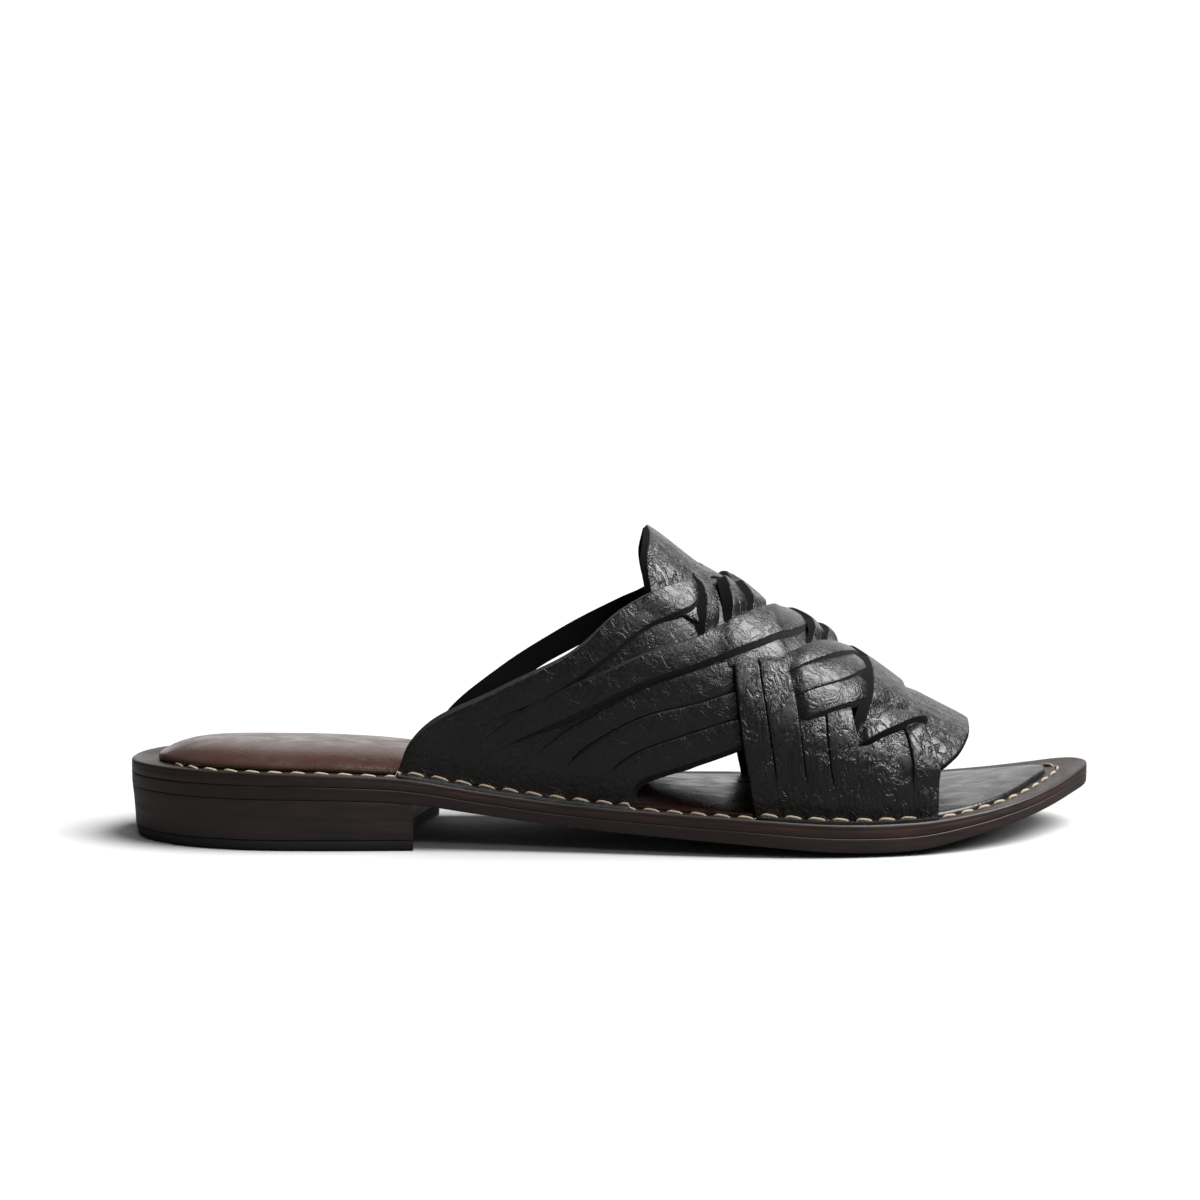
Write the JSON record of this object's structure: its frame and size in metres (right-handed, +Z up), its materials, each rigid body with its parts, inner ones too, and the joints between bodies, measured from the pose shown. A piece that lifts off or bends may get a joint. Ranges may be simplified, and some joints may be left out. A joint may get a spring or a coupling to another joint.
{
  "type": "huarache sandal",
  "caption": "Slip-on huarache sandal for the right foot, woven leather straps crossing over the instep, leather sole and low stacked heel.",
  "frame": {"origin": "centre of the shoe's box in plan, on the ground that heel and forefoot stand on", "axes": "+X to the toe, -Y to the shoe's lateral (outer) side, +Z up"},
  "size_m": [0.294, 0.0942, 0.0925],
  "materials": {
    "upper": "black grained leather, semi-gloss",
    "insole": "dark brown smooth leather, polished",
    "midsole": "burnished dark edge",
    "outsole": "burnished dark edge",
    "heel_block": "stacked leather, satin",
    "heel_lift": "matt dark rubber"
  },
  "bodies": {
    "root": {"upper": "upper", "insole": "insole", "midsole": "midsole", "outsole": "outsole", "heel_block": "heel_block", "heel_lift": "heel_lift"}
  },
  "joints": []
}
